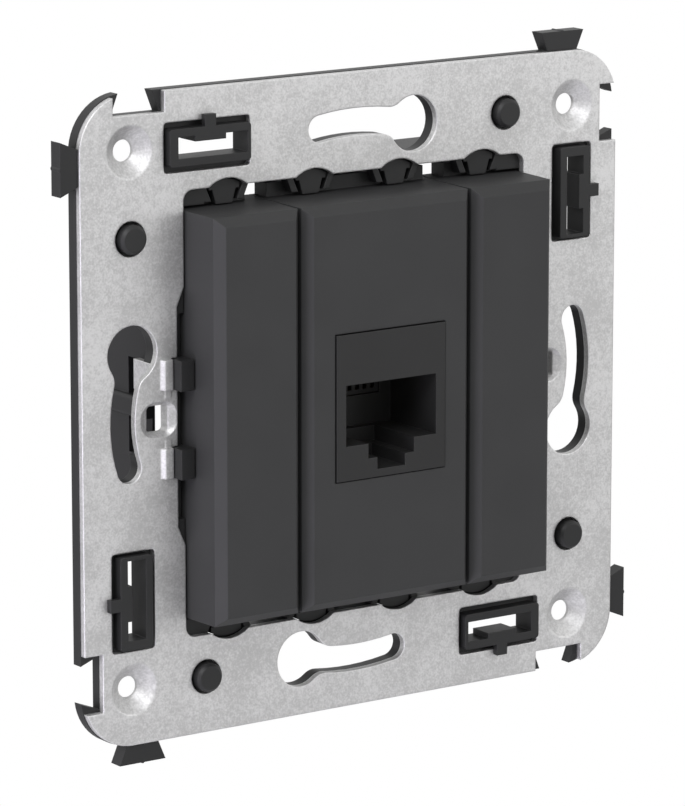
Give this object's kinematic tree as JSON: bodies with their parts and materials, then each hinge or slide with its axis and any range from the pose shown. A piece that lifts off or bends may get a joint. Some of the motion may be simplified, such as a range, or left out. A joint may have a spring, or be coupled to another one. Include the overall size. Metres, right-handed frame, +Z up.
{
  "type": "ethernet wall socket",
  "caption": "Flush network wall socket without its finishing frame: square steel mounting plate on a black frame with clip-on covers around an RJ45 jack.",
  "frame": {"origin": "centre of the square plate, on the wall plane that the moulded frame's back rests on", "axes": "-Y out of the wall into the room, +Y into the wall box, +Z up, +X to the right as seen from the room"},
  "size_m": [0.0756, 0.03, 0.0756],
  "materials": {
    "galvanised_steel": "bright zinc-coated sheet with a soft spangle",
    "frame_plastic": "black, faint sheen",
    "cover_plastic": "anthracite, fine matt grain",
    "jack_plastic": "black, smooth",
    "contact_gold": "thin gold plating",
    "blade_metal": "tinned bronze",
    "board_laminate": "green solder mask",
    "terminal_plastic": "black"
  },
  "bodies": {
    "root": {"steel_plate": "galvanised_steel", "backing_frame": "frame_plastic", "blank_cover_left": "cover_plastic", "blank_cover_right": "cover_plastic", "port_cover": "cover_plastic", "jack_housing": "jack_plastic", "contact_carrier": "jack_plastic", "circuit_board": "board_laminate", "terminal_block": "terminal_plastic", "wiring_cap": "terminal_plastic", "contact_1": "contact_gold", "terminal_blade_1": "blade_metal", "contact_2": "contact_gold", "terminal_blade_2": "blade_metal", "contact_3": "contact_gold", "terminal_blade_3": "blade_metal", "contact_4": "contact_gold", "terminal_blade_4": "blade_metal", "contact_5": "contact_gold", "terminal_blade_5": "blade_metal", "contact_6": "contact_gold", "terminal_blade_6": "blade_metal", "contact_7": "contact_gold", "terminal_blade_7": "blade_metal", "contact_8": "contact_gold", "terminal_blade_8": "blade_metal"}
  },
  "joints": []
}
